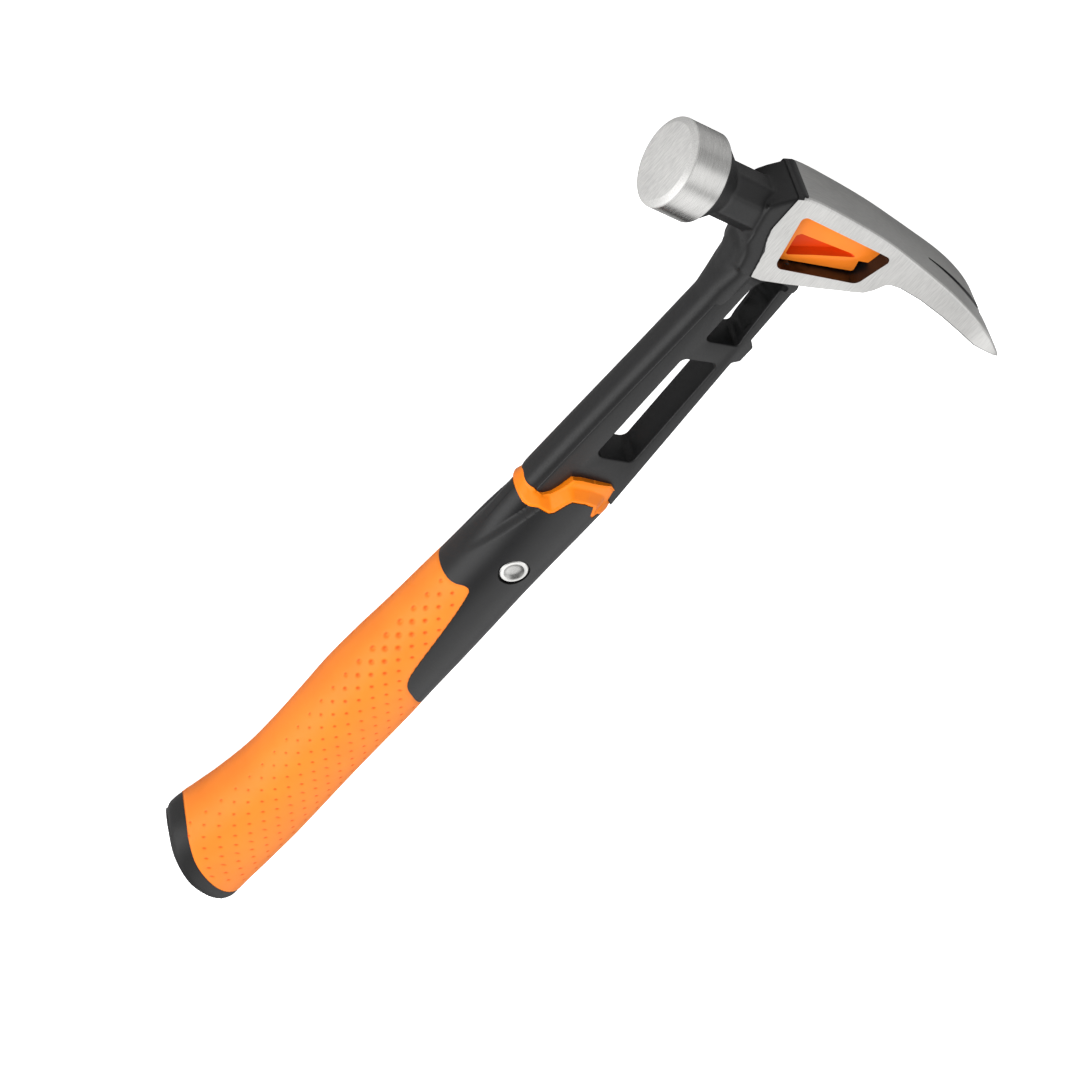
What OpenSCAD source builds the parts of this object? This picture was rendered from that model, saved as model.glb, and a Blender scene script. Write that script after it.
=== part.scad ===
// Straight-claw hammer, forged steel head and shaft in one piece, with a
// riveted rigid handle shell, an elastomer isolation sleeve and a soft grip.
// Millimetres. +X runs from the butt to the top of the head, +Y towards the
// striking face, +Z out of the left cheek. The hammer lies on its right side.
// Shapes are drawn about the handle's mid plane and moved at the end.

/* [Striking face and poll] */
// Height of the poll axis above the butt end
poll_x = 329.4; // [320:0.5:334]
// Distance from the handle axis to the striking face
face_y = 52; // [48:0.5:56]
// Diameter of the ground poll band
poll_d = 27; // [26:0.5:28]
// Diameter of the flat striking face inside its bevel
face_d = 23.4; // [20:0.2:25]
// Depth of the bevel round the striking face
face_bevel = 0.8; // [0.5:0.1:2]
// Length of the ground poll band
poll_band = 13; // [8:0.5:15]
// Length of the painted taper behind the poll band
poll_taper = 9; // [6:0.5:11]

/* [Neck and cheeks] */
// Width across the flats of the eight-sided neck
neck_af = 16; // [12:0.5:17]
// Height of the neck axis above the butt end
neck_x = 329.4; // [328:0.1:330]
// Thickness of the head across its two cheeks
cheek_t = 18.4; // [17:0.2:20]

/* [Claws] */
// Distance from the handle axis to the claw tips
claw_reach = 79.6; // [78:0.2:84]
// Widest spread of the two claws
claw_w = 26; // [24:0.5:28]
// Distance between the two claw points
claw_tip_w = 20.6; // [18:0.2:22]
// Gap between the claws just before their tips
slot_w = 3; // [2:0.1:3.6]
// Distance from the handle axis to the root of the nail slot
slot_root = 42; // [40:1:50]

/* [Shaft and tang] */
// Thickness of the flat shaft web
web_t = 12.4; // [10:0.2:13]
// Radius of the rounded front rib
rib_r = 5; // [4.6:0.1:5.4]
// Thickness of the tang inside the handle
tang_t = 6; // [5:0.5:7]
// Lower end of the tang
tang_end = 112; // [104:1:130]
// Diameter of the hole for the rivet in the tang
tang_hole = 9; // [8:0.5:10]

/* [Cheek inserts] */
// Height of the insert border above the mid plane
insert_h = 4.5; // [3:0.5:5]
// Depth of the pocket in each insert
pocket_h = 2; // [1:0.2:2.6]
// Width of the border round the pocket
insert_rim = 2; // [1.6:0.1:2.4]

/* [Isolation sleeve] */
// Wall of the sleeve round the tang
sleeve_wall = 1.5; // [1:0.1:2]
// Thickness of the exposed band across the hammer
band_t = 19; // [18:0.5:20]

/* [Handle shell and grip] */
// Thickness of the soft grip over the shell
grip_t = 2.8; // [2:0.2:3.4]
// Squareness of the handle section, 2 is an ellipse
section_pow = 2.3; // [2:0.1:3]

/* [Rivet] */
// Height of the rivet above the butt end
rivet_x = 184; // [180:0.5:188]
// Distance of the rivet in front of the handle axis
rivet_y = 1.5; // [0:0.5:3]
// Diameter of the rolled rivet flange
rivet_d = 9.4; // [8:0.2:10]
// Diameter of the rivet shank
rivet_shank = 6.2; // [5:0.2:7]
// Depth of the dished rivet centre
rivet_dish = 1.4; // [0.5:0.1:2]

/* [End cap] */
// Length of the cap plug inside the shell
plug_l = 12; // [6:1:16]
// Side of the square cap plug
plug_w = 11; // [8:0.5:12]

/* [Hidden] */

steel = "#8f8f8d";
orange = "#ff8c28";
amber = "#ff9638";
black = "#3c3c3e";
bright = "#c9c9c6";
rubber = "#39393b";

// Outer size of the whole hammer, used to place it in its own frame
x_lo = 5.5;
x_hi = 343.13;
y_lo = -claw_reach;
y_hi = face_y;
z_hi = 15;
big = 60;

// Rounded copy of a closed outline, with one radius or one for each corner
function unit(v) = v / norm(v);
function corner(a, b, c, r, k) =
    let (u = unit(a - b), v = unit(c - b), h = acos(u * v) / 2, o = b + unit(u + v) * (r / sin(h)),
        s = b + u * (r / tan(h)) - o, e = b + v * (r / tan(h)) - o)
    [for (j = [0 : k]) o + r * unit(s * (k - j) + e * j)];
function rounded(p, r, k = 5) =
    let (n = len(p))
    [for (i = [0 : n - 1])
        let (q = is_list(r) ? r[i] : r)
        each (q > 0 ? corner(p[(i + n - 1) % n], p[i], p[(i + 1) % n], q, k) : [p[i]])];

// Smooth curve through a list of points
function smooth(p, k = 4) =
    let (n = len(p))
    [for (i = [0 : n - 2], j = [0 : k - 1])
        let (t = j / k, a = p[max(i - 1, 0)], b = p[i], c = p[i + 1], d = p[min(i + 2, n - 1)])
        (2 * b + (c - a) * t + (2 * a - 5 * b + 4 * c - d) * t * t
            + (3 * b - a - 3 * c + d) * t * t * t) / 2,
        p[n - 1]];

// Side outline of the head top and claws, from the front corner back to the tip
head_top = [[341.8, 13.6], [342.9, 9], [343, 4], [342.2, -10], [341.3, -20], [339.7, -30],
    [337.9, -40], [335.9, -50], [333.2, -60], [329.4, -70], [324.4, -claw_reach + 0.6]];
// Side outline of the claw underside, from the tip forward to the cheek
head_under = [[323.4, -claw_reach], [324.8, -67.5], [326.4, -61], [328.2, -52], [329.6, -42],
    [329.9, -34], [328.6, -29.2]];
// Side outline of the cheek bottom, from the claws forward to the shaft
cheek_low = [[324.2, -27], [321.6, -22.5], [318.2, -12.7], [314.6, -2], [312.4, 5.5],
    [312.4, 9], [311.5, 15]];
neck_root = [[317.5, 17.6], [320.4, 21.2], [neck_x + neck_af / 2 - 0.6, 21.2]];

// Half widths of the claws seen from above
claw_plan = [[20, cheek_t / 2], [-20, cheek_t / 2], [-32, cheek_t / 2 + 0.7],
    [-46, cheek_t / 2 + 2], [-60, claw_w / 2 - 0.3], [-67, claw_w / 2],
    [-claw_reach + 3, claw_tip_w / 2 + 1.1], [-claw_reach, claw_tip_w / 2 - 0.2]];
claw_inner = [[-claw_reach - 1, claw_tip_w / 2 - 1.4], [-claw_reach + 2.2, slot_w / 2 + 2.4],
    [-claw_reach + 5, slot_w / 2], [-slot_root, 0.3]];

// Cheek window and the two shaft windows
cheek_win = [[318.2, 5], [324.8, -21.3], [337, -25], [337.3, 9.6]];
upper_win = [[284.8, 3.4], [287.6, -7.4], [291.2, -6.6], [311, -4.7], [308.6, 3.5]];
lower_win = [[232, 4.6], [235, -7.9], [279.4, -6.5], [276.2, 4.6]];

// Outline of the exposed steel shaft, with its stepped lower edge
shaft_web = [[311, 13.2], [300, 9.8], [256, 9], [213, 12.2], [211, 11], [211.8, 8.8],
    [217, 6.9], [221.4, 5.8], [222.6, 3], [224.2, -7], [222.8, -9.4], [218.2, -11],
    [216.8, -13.2], [281.4, -9.9], [283.2, -11.9], [289.2, -12], [291.4, -9.6],
    [316, -8.7], [320, 0]];

// Lower edge of the exposed isolation band, where the handle shell starts
band_low = [[209, 22], [207.6, 16], [206.9, 13.7], [207.4, 11.8], [208.9, 9.8], [209, 6],
    [210, 4.8], [214.6, 3.1], [216.2, 2.2], [217.1, -2], [216.8, -5.4], [213.4, -7],
    [212.1, -8.6], [214, -9.6], [214, -20]];

// Edge between the handle shell and the soft grip
grip_edge = [[169, 30], [169, 17], [169.6, 13.6], [171.3, 11], [170.4, 8.8], [157, 7.1],
    [134, 5.3], [128, 3.9], [123.8, -0.5], [119, -8.6], [115, -22]];

// Edge between the grip and the end cap, and the end of the cap
cap_edge = smooth([[43, 40], [35, 30], [28.6, 25], [22, 18.5], [16.6, 10.5], [13, 3],
    [10.9, -4], [9.6, -11], [8.6, -22]]);
cap_end = smooth([[31, 40], [26, 31.4], [19, 25.2], [12, 15.6], [8.4, 7], [6.4, 0],
    [5.5, -6], [5.5, -12], [5.5, -22]]);

// Handle sections: height, middle, half depth and half thickness
sections = [[2, 9.75, 18.95, 14.4], [14, 10.5, 19.6, 14.7], [26, 10.3, 20.2, 15],
    [36, 8.75, 19.15, 14.8], [46, 7.2, 18, 14.4], [62, 5.65, 16.65, 13.9], [78, 5.15, 16.25, 13.7],
    [94, 4.95, 16.35, 13.9], [110, 4.75, 16.65, 13.9], [126, 4.2, 16.3, 13.5], [142, 3.3, 15.8, 13],
    [158, 2.65, 15.35, 12.6], [174, 2.05, 14.85, 12.2], [190, 1.45, 14.75, 11.8],
    [206, 1.05, 15.25, 11.1], [220, 0.85, 15.55, 10.7]];
sides = 28;

// One section of the handle, drawn smaller by an inset
function superpoint(s, inset, a) =
    let (c = cos(a), d = sin(a))
    [s[0], s[1] + (s[2] - inset) * sign(c) * pow(abs(c), 2 / section_pow),
        (s[3] - inset) * sign(d) * pow(abs(d), 2 / section_pow)];

// Solid handle body through all its sections
module handle_body(inset) {
    n = len(sections);
    pts = [for (s = sections, i = [0 : sides - 1]) superpoint(s, inset, 360 * i / sides)];
    side_faces = [for (k = [0 : n - 2], i = [0 : sides - 1])
        let (a = k * sides + i, b = k * sides + (i + 1) % sides)
        each [[a, a + sides, b], [b, a + sides, b + sides]]];
    low = [[for (i = [0 : sides - 1]) i]];
    high = [[for (i = [sides - 1 : -1 : 0]) (n - 1) * sides + i]];
    polyhedron(pts, concat(side_faces, low, high), convexity = 6);
}

// Slab with a side outline, centred on the mid plane
module slab(outline, t) {
    translate([0, 0, -t / 2]) linear_extrude(t) polygon(outline);
}

// Slab with an outline seen from above the head
module plan_slab(outline) {
    translate([300, 0, 0])
        rotate([0, 90, 0])
            linear_extrude(big) polygon([for (q = outline) [-q[1], q[0]]]);
}

module poll() {
    back = face_y - poll_band - poll_taper;
    profile = [[0, face_y], [face_d / 2, face_y], [poll_d / 2, face_y - face_bevel],
        [poll_d / 2, face_y - poll_band], [neck_af / 2 - 1.3, back], [0, back]];
    translate([poll_x, 0, 0])
        rotate([-90, 0, 0])
            rotate_extrude($fn = 96) polygon(profile);
}

module neck() {
    translate([neck_x, 12, 0])
        rotate([-90, 0, 0])
            rotate([0, 0, 22.5])
                cylinder(r = neck_af / 2 / cos(22.5), h = face_y - poll_band - 2 - 12,
                    $fn = 8);
}

module head_block() {
    top = smooth(head_top, 3);
    under = smooth(head_under, 3);
    half = concat(claw_plan, claw_inner);
    outline = concat([for (q = half) q], [for (i = [len(half) - 1 : -1 : 0]) [half[i][0], -half[i][1]]]);
    difference() {
        intersection() {
            slab(concat(top, under, cheek_low, neck_root), claw_w + 4);
            plan_slab(outline);
        }
        slab(rounded(cheek_win, [2.5, 3, 1.6, 1.6]), big);
    }
}

// Tapered shoulder from the thin web up to the thick cheek block
module shoulder() {
    hull() {
        slab([[312.6, -9.6], [312.6, 14.8], [311, 14.8], [311, -9.6]], cheek_t - 1.4);
        slab([[298, -9.2], [298, 8.6], [297, 8.6], [297, -9.2]], web_t);
    }
}

module rib() {
    a = atan2(3.2, 88);
    translate([212, 11.4, 0])
        rotate([0, 90, -a])
            cylinder(r = rib_r, h = 90, $fn = 48);
    translate([301.6, 8.2, 0])
        rotate([0, 90, 22])
            cylinder(r = rib_r, h = 16, $fn = 48);
}

module tang(inset = 0) {
    x0 = tang_end - inset;
    translate([x0, -8 - inset, -tang_t / 2 - inset])
        cube([226 - x0, 16 + 2 * inset, tang_t + 2 * inset]);
}

module exposed_shaft() {
    slab(shaft_web, web_t);
    rib();
}

module head_shaft() {
    color(steel)
        difference() {
            union() {
                poll();
                neck();
                head_block();
                difference() {
                    union() {
                        exposed_shaft();
                        shoulder();
                    }
                    slab(rounded(upper_win, [1.5, 1.5, 0.5, 1.2, 1.5]), big);
                    slab(rounded(lower_win, [2.4, 2.4, 1.8, 2.2]), big);
                    slab(rounded(cheek_win, [2.5, 3, 1.6, 1.6]), big);
                }
                tang();
            }
            translate([rivet_x, rivet_y, -big / 2]) cylinder(d = tang_hole, h = big, $fn = 48);
        }
}

// Orange insert that fills half of the cheek window
module cheek_insert() {
    pocket = [[320.9, 1], [328.2, -19.6], [328.2, 1.4]];
    color(amber)
        difference() {
            translate([0, 0, 0])
                linear_extrude(insert_h) polygon(rounded(cheek_win, [2.5, 3, 1.6, 1.6]));
            translate([0, 0, insert_h - pocket_h])
                linear_extrude(insert_h) polygon(rounded(pocket, 0.6));
            translate([322, -27, insert_h - 1])
                cube([7, 4.4, insert_h]);
        }
}

module cheek_insert_left() {
    cheek_insert();
}

module cheek_insert_right() {
    mirror([0, 0, 1]) cheek_insert();
}

module isolation_sleeve() {
    // Region from the band's lower edge up to the steel edge above it
    band = concat(band_low, [[224, -20], [226.5, -8], [224.6, 5], [213.6, 11], [214, 22]]);
    steel_edge = [for (i = [3 : 12]) shaft_web[i]];
    upper = concat(steel_edge, [[216.6, -20], [240, -20], [240, 22], [213, 22]]);
    color(orange)
        difference() {
            union() {
                tang(sleeve_wall);
                intersection() {
                    handle_body(0.2);
                    slab(band, band_t);
                    translate([200, -40, -20]) cube([30, 80, 40]);
                }
            }
            tang();
            slab(upper, big);
            exposed_shaft();
            translate([rivet_x, rivet_y, -big / 2]) cylinder(d = rivet_shank, h = big, $fn = 48);
        }
}

module handle_shell() {
    visible = concat(band_low, [for (i = [len(grip_edge) - 1 : -1 : 0]) grip_edge[i]]);
    inner = concat(cap_edge, [[120, -30], [176, -30], [176, 40]]);
    color(black)
        difference() {
            union() {
                intersection() {
                    handle_body(0);
                    slab(visible, big);
                }
                intersection() {
                    handle_body(grip_t);
                    slab(inner, big);
                }
            }
            tang(sleeve_wall);
            translate([0, 4 - plug_w / 2, -plug_w / 2]) cube([13.5 + plug_l, plug_w, plug_w]);
            translate([rivet_x, rivet_y, -big / 2]) cylinder(d = rivet_shank, h = big, $fn = 48);
            rivet_seat();
            mirror([0, 0, 1]) rivet_seat();
        }
}

// Counterbore that takes a rivet flange
module rivet_seat() {
    translate([rivet_x, rivet_y, 10.3]) cylinder(d = rivet_d + 1, h = 10, $fn = 48);
}

module rivet() {
    top = 11.6;
    half = [[rivet_shank / 2, 0], [rivet_shank / 2, 10.3], [rivet_d / 2, 10.3], [rivet_d / 2, top],
        [rivet_shank / 2, top], [rivet_shank / 2 - 0.6, top - rivet_dish], [0, top - rivet_dish]];
    lower = [for (i = [len(half) - 1 : -1 : 0]) [half[i][0], -half[i][1]]];
    color(bright)
        translate([rivet_x, rivet_y, 0])
            rotate_extrude($fn = 48) polygon(concat(lower, half));
}

module grip_overmould() {
    region = concat(cap_edge, [[60, -40], [114, -40]],
        [for (i = [len(grip_edge) - 1 : -1 : 0]) grip_edge[i]], [[120, 50], [50, 50]]);
    color(orange)
        difference() {
            intersection() {
                handle_body(0);
                slab(region, big);
            }
            handle_body(grip_t);
        }
}

module end_cap() {
    region = concat(cap_end, [for (i = [len(cap_edge) - 1 : -1 : 0]) cap_edge[i]]);
    color(rubber)
        union() {
            intersection() {
                handle_body(0);
                slab(region, big);
            }
            difference() {
                translate([11, 4 - plug_w / 2, -plug_w / 2]) cube([2 + plug_l, plug_w, plug_w]);
                slab(concat(cap_edge, [[-20, -22], [-20, 40]]), big);
            }
        }
}

// Moves the drawing into the part's own frame
module placed() {
    translate([-(x_lo + x_hi) / 2, -(y_lo + y_hi) / 2, z_hi]) children();
}

placed() head_shaft();
placed() cheek_insert_left();
placed() cheek_insert_right();
placed() isolation_sleeve();
placed() handle_shell();
placed() rivet();
placed() grip_overmould();
placed() end_cap();
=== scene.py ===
import math
from math import cos, pi, radians, sin

import bmesh
import bpy
from mathutils import Matrix, Vector


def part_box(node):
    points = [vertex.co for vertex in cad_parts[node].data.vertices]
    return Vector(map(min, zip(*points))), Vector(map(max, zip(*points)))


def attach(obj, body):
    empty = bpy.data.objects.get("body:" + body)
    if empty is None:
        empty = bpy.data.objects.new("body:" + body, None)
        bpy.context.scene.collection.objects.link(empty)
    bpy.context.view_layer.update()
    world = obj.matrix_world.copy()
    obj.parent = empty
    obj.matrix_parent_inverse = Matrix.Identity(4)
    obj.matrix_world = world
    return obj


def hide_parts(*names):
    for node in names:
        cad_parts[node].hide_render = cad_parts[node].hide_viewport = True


bl_info = {
    "name": "Straight Claw Hammer",
    "version": (1, 0, 0),
    "blender": (4, 5, 0),
    "location": "View3D > Sidebar > Hammer",
    "description": "Builds the visible pieces of a one-piece forged claw hammer",
    "category": "Object",
}

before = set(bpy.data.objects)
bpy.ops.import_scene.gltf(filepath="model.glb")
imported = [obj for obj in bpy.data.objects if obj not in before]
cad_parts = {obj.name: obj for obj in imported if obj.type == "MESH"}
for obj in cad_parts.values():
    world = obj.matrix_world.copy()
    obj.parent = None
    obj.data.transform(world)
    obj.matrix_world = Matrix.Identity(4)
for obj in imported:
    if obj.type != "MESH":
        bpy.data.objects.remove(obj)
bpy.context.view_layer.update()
HEAD_LOW, HEAD_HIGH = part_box("head_shaft")
CAP_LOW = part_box("end_cap")[0]

# Shapes are drawn in millimetres about the handle's mid plane, with x from the
# butt to the head top, y towards the striking face and z out of the left cheek.
# This is where that drawing's zero lies in the frame.
BUTT_X, FACE_Y = 5.5, 52.0
ORIGIN = Vector((CAP_LOW.x - BUTT_X / 1000, HEAD_HIGH.y - FACE_Y / 1000,
                 (HEAD_LOW.z + HEAD_HIGH.z) / 2))
TO_FRAME = Matrix.Translation(ORIGIN) @ Matrix.Scale(0.001, 4)


# ---------------------------------------------------------------- properties

def length_prop(name, description, default, low, high):
    """Length that a user may change"""
    return bpy.props.FloatProperty(name=name, description=description, default=default,
                                   min=low, max=high, unit="LENGTH", subtype="DISTANCE")


def colour_prop(name, description, default):
    """Colour that a user may change"""
    return bpy.props.FloatVectorProperty(name=name, description=description, default=default,
                                         size=3, min=0.0, max=1.0, subtype="COLOR")


class HammerSizes(bpy.types.PropertyGroup):
    """Sizes of the visible pieces"""
    paint_grain: length_prop("Paint grain", "Size of the cells that round the painted forging",
                             0.00045, 0.0003, 0.001)
    handle_step: length_prop("Handle step", "Distance between the rings of the handle surface",
                             0.00044, 0.0004, 0.002)
    dimple_depth: length_prop("Dimple depth", "Depth of the largest grip dimple",
                              0.0006, 0.0, 0.001)
    lip_round: length_prop("Lip radius", "Rounding of the edges of the handle pieces",
                           0.0004, 0.0, 0.001)


class HammerColours(bpy.types.PropertyGroup):
    """Colours of the finishes"""
    grip: colour_prop("Grip", "Grip colour", (1.0, 0.25, 0.024))
    band: colour_prop("Band", "Isolation band colour", (1.0, 0.235, 0.005))
    insert: colour_prop("Insert", "Cheek insert colour", (1.0, 0.24, 0.02))
    shell: colour_prop("Shell", "Rigid shell colour", (0.006, 0.006, 0.0066))
    paint: colour_prop("Paint", "Black paint colour", (0.006, 0.006, 0.0064))
    cap: colour_prop("Cap", "End cap colour", (0.007, 0.007, 0.0073))
    steel: colour_prop("Ground steel", "Ground steel colour", (0.66, 0.655, 0.64))


# ------------------------------------------------------------------- shading

class Shader:
    """Small helper that adds and joins nodes of one material"""

    def __init__(self, name, **principled):
        self.material = bpy.data.materials.new(name)
        self.material.use_nodes = True
        self.tree = self.material.node_tree
        self.bsdf = self.tree.nodes["Principled BSDF"]
        for key, value in principled.items():
            self.bsdf.inputs[key.replace("_", " ")].default_value = value
        self.place = self.add("ShaderNodeTexCoord").outputs["Object"]

    def add(self, kind, **settings):
        node = self.tree.nodes.new(kind)
        for key, value in settings.items():
            setattr(node, key, value)
        return node

    def join(self, source, target):
        self.tree.links.new(source, target)

    def put(self, target, value):
        if isinstance(value, bpy.types.NodeSocket):
            self.join(value, target)
        else:
            target.default_value = value

    def mapped(self, scale, turn):
        node = self.add("ShaderNodeMapping")
        node.inputs["Scale"].default_value = scale
        node.inputs["Rotation"].default_value = turn
        self.join(self.place, node.inputs["Vector"])
        return node.outputs["Vector"]

    def noise(self, scale, detail=3.0, rough=0.55, vector=None):
        node = self.add("ShaderNodeTexNoise")
        node.inputs["Scale"].default_value = scale
        node.inputs["Detail"].default_value = detail
        node.inputs["Roughness"].default_value = rough
        self.join(vector or self.place, node.inputs["Vector"])
        return node.outputs["Fac"]

    def math(self, operation, a, b):
        node = self.add("ShaderNodeMath", operation=operation)
        self.put(node.inputs[0], a)
        self.put(node.inputs[1], b)
        return node.outputs[0]

    def ramp(self, value, low, high, out_low=0.0, out_high=1.0):
        node = self.add("ShaderNodeMapRange", clamp=True)
        self.put(node.inputs["Value"], value)
        for key, number in (("From Min", low), ("From Max", high), ("To Min", out_low),
                            ("To Max", out_high)):
            node.inputs[key].default_value = number
        return node.outputs["Result"]

    def mix(self, share, a, b):
        node = self.add("ShaderNodeMix", data_type="RGBA")
        self.put(node.inputs["Factor"], share)
        for socket, value in ((node.inputs["A"], a), (node.inputs["B"], b)):
            self.put(socket, (*value, 1.0) if isinstance(value, tuple) and len(value) == 3
                     else value)
        return node.outputs["Result"]

    def axes(self):
        node = self.add("ShaderNodeSeparateXYZ")
        self.join(self.place, node.inputs["Vector"])
        return node.outputs["X"], node.outputs["Y"]

    def bump(self, height, strength, distance):
        node = self.add("ShaderNodeBump")
        node.inputs["Strength"].default_value = strength
        node.inputs["Distance"].default_value = distance
        self.join(height, node.inputs["Height"])
        return node.outputs["Normal"]

    def colour(self, socket):
        self.join(socket, self.bsdf.inputs["Base Color"])

    def roughness(self, socket):
        self.join(socket, self.bsdf.inputs["Roughness"])

    def normal(self, socket):
        self.join(socket, self.bsdf.inputs["Normal"])


def shade(colour, factor):
    """Lighter or darker colour"""
    return tuple(min(1.0, c * factor) for c in colour)


def ground_steel(name, colour, brush_scale, turn, rough=(0.3, 0.42), strength=0.25, metal=1.0):
    """Ground and brushed steel, with fine streaks across the brushing direction"""
    s = Shader(name, Metallic=metal)
    streaks = s.noise(1.0, 4.0, 0.65, s.mapped(brush_scale, turn))
    broad = s.noise(60.0, 2.0)
    tone = s.math("ADD", s.math("MULTIPLY", streaks, 0.75), s.math("MULTIPLY", broad, 0.25))
    s.colour(s.mix(s.ramp(tone, 0.3, 0.7), shade(colour, 0.74), shade(colour, 1.16)))
    s.roughness(s.ramp(streaks, 0.3, 0.7, *rough))
    s.normal(s.bump(streaks, strength, 0.00002))
    return s


def painted(name, colour, grain=2600.0, rough=(0.38, 0.52), strength=0.5):
    """Satin black paint or moulded plastic with a fine grain"""
    s = Shader(name)
    fine = s.noise(grain, 2.0, 0.6)
    broad = s.noise(90.0, 3.0)
    s.colour(s.mix(s.ramp(broad, 0.35, 0.65), shade(colour, 0.85), shade(colour, 1.15)))
    s.roughness(s.ramp(fine, 0.3, 0.7, *rough))
    s.bsdf.inputs["Specular IOR Level"].default_value = 0.55
    s.normal(s.bump(fine, strength, 0.00003))
    return s


def moulded(name, colour, rough):
    """Orange moulding with a soft sheen and slight mottling"""
    s = Shader(name)
    fine = s.noise(1800.0, 2.0)
    broad = s.noise(70.0, 3.0)
    s.colour(s.mix(s.ramp(broad, 0.35, 0.65), shade(colour, 0.95), shade(colour, 1.04)))
    s.roughness(s.ramp(fine, 0.3, 0.7, *rough))
    s.normal(s.bump(fine, 0.25, 0.00002))
    s.bsdf.inputs["Specular IOR Level"].default_value = 0.3
    return s


def ground_cheek(colour, paint):
    """Cheek finish: ground steel up to a curved edge, black paint in front of it"""
    s = ground_steel("ground_cheek", colour, (260.0, 3400.0, 260.0), (0, 0, radians(-20)))
    x, y = (s.math("MULTIPLY", s.math("SUBTRACT", v, zero), 1000.0)
            for v, zero in zip(s.axes(), ORIGIN.xy))
    # The paint ends at a round arc near the head top and a slanted line below it.
    bow = s.math("SUBTRACT", x, 333.0)
    curve = s.math("SUBTRACT", 15.2, s.math("MULTIPLY", s.math("MULTIPLY", bow, bow), 0.03))
    line = s.math("ADD", 10.6, s.math("MULTIPLY", s.math("SUBTRACT", x, 318.6), 0.27))
    wobble = s.math("MULTIPLY", s.math("SUBTRACT", s.noise(700.0, 2.0), 0.5), 0.5)
    edge = s.math("ADD", s.math("MAXIMUM", curve, line), wobble)
    black = s.ramp(s.math("SUBTRACT", y, edge), -0.08, 0.08)
    base = s.bsdf.inputs["Base Color"].links[0].from_socket
    s.colour(s.mix(black, base, paint))
    s.join(s.math("SUBTRACT", 1.0, black), s.bsdf.inputs["Metallic"])
    return s


# ------------------------------------------------------------------ modelling

def smooth_curve(points, steps):
    """Catmull-Rom curve through the points"""
    out, last = [], len(points) - 1
    for i in range(last):
        a, b, c, d = (points[max(i - 1, 0)], points[i], points[i + 1], points[min(i + 2, last)])
        for j in range(steps):
            t = j / steps
            out.append(tuple(
                (2 * q + (r - p) * t + (2 * p - 5 * q + 4 * r - w) * t * t
                 + (3 * q - p - 3 * r + w) * t ** 3) / 2
                for p, q, r, w in zip(a, b, c, d)))
    return out + [tuple(points[-1])]


def rounded(points, radii, steps=6):
    """Closed outline with its corners turned into arcs"""
    out, n = [], len(points)
    for i, b in enumerate(points):
        r, a, b, c = radii[i], Vector(points[i - 1]), Vector(b), Vector(points[(i + 1) % n])
        u, v = (a - b).normalized(), (c - b).normalized()
        half = u.angle(v) / 2
        centre = b + (u + v).normalized() * (r / sin(half))
        s, e = b + u * (r / math.tan(half)) - centre, b + v * (r / math.tan(half)) - centre
        out += [tuple(centre + (s * (steps - j) + e * j).normalized() * r)
                for j in range(steps + 1)]
    return out


def follow(table, at):
    """Value of a smooth table of (position, values...) at a position"""
    rows = sorted(table)
    if at <= rows[0][0]:
        return rows[0][1:]
    if at >= rows[-1][0]:
        return rows[-1][1:]
    i = max(k for k, row in enumerate(rows) if row[0] <= at)
    p0, p1, p2, p3 = rows[max(i - 1, 0)], rows[i], rows[i + 1], rows[min(i + 2, len(rows) - 1)]
    t = (at - p1[0]) / (p2[0] - p1[0])
    width = p2[0] - p1[0]
    out = []
    for k in range(1, len(p1)):
        m1 = (p2[k] - p0[k]) / (p2[0] - p0[0]) * width if p2[0] != p0[0] else 0
        m2 = (p3[k] - p1[k]) / (p3[0] - p1[0]) * width if p3[0] != p1[0] else 0
        out.append((2 * t ** 3 - 3 * t * t + 1) * p1[k] + (t ** 3 - 2 * t * t + t) * m1
                   + (-2 * t ** 3 + 3 * t * t) * p2[k] + (t ** 3 - t * t) * m2)
    return tuple(out)


def line_at(table, at):
    """Value of a straight-line table at a position"""
    rows = sorted(table)
    if at <= rows[0][0]:
        return rows[0][1]
    for p, q in zip(rows, rows[1:]):
        if at <= q[0]:
            return p[1] + (q[1] - p[1]) * (at - p[0]) / (q[0] - p[0])
    return rows[-1][1]


def tidy(bm):
    """Merges doubles and turns the faces outwards"""
    bmesh.ops.remove_doubles(bm, verts=bm.verts, dist=1e-5)
    bmesh.ops.recalc_face_normals(bm, faces=bm.faces)
    return bm


def prism(outline, low, high):
    """Closed slab with a side outline between two heights"""
    bm = bmesh.new()
    verts = [bm.verts.new((x, y, low)) for x, y in outline]
    edges = [bm.edges.new(pair) for pair in zip(verts, verts[1:] + verts[:1])]
    bmesh.ops.contextual_create(bm, geom=edges)
    out = bmesh.ops.extrude_face_region(bm, geom=bm.faces[:])
    moved = [v for v in out["geom"] if isinstance(v, bmesh.types.BMVert)]
    bmesh.ops.translate(bm, verts=moved, vec=(0, 0, high - low))
    return tidy(bm)


def rod(start, end, r1, r2, sides=48):
    """Closed cylinder or cone between two points"""
    start, end = Vector(start), Vector(end)
    bm = bmesh.new()
    turn = (end - start).to_track_quat("Z", "Y").to_matrix().to_4x4()
    bmesh.ops.create_cone(bm, cap_ends=True, segments=sides, radius1=r1, radius2=r2,
                          depth=(end - start).length,
                          matrix=Matrix.Translation((start + end) / 2) @ turn)
    return bm


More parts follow.
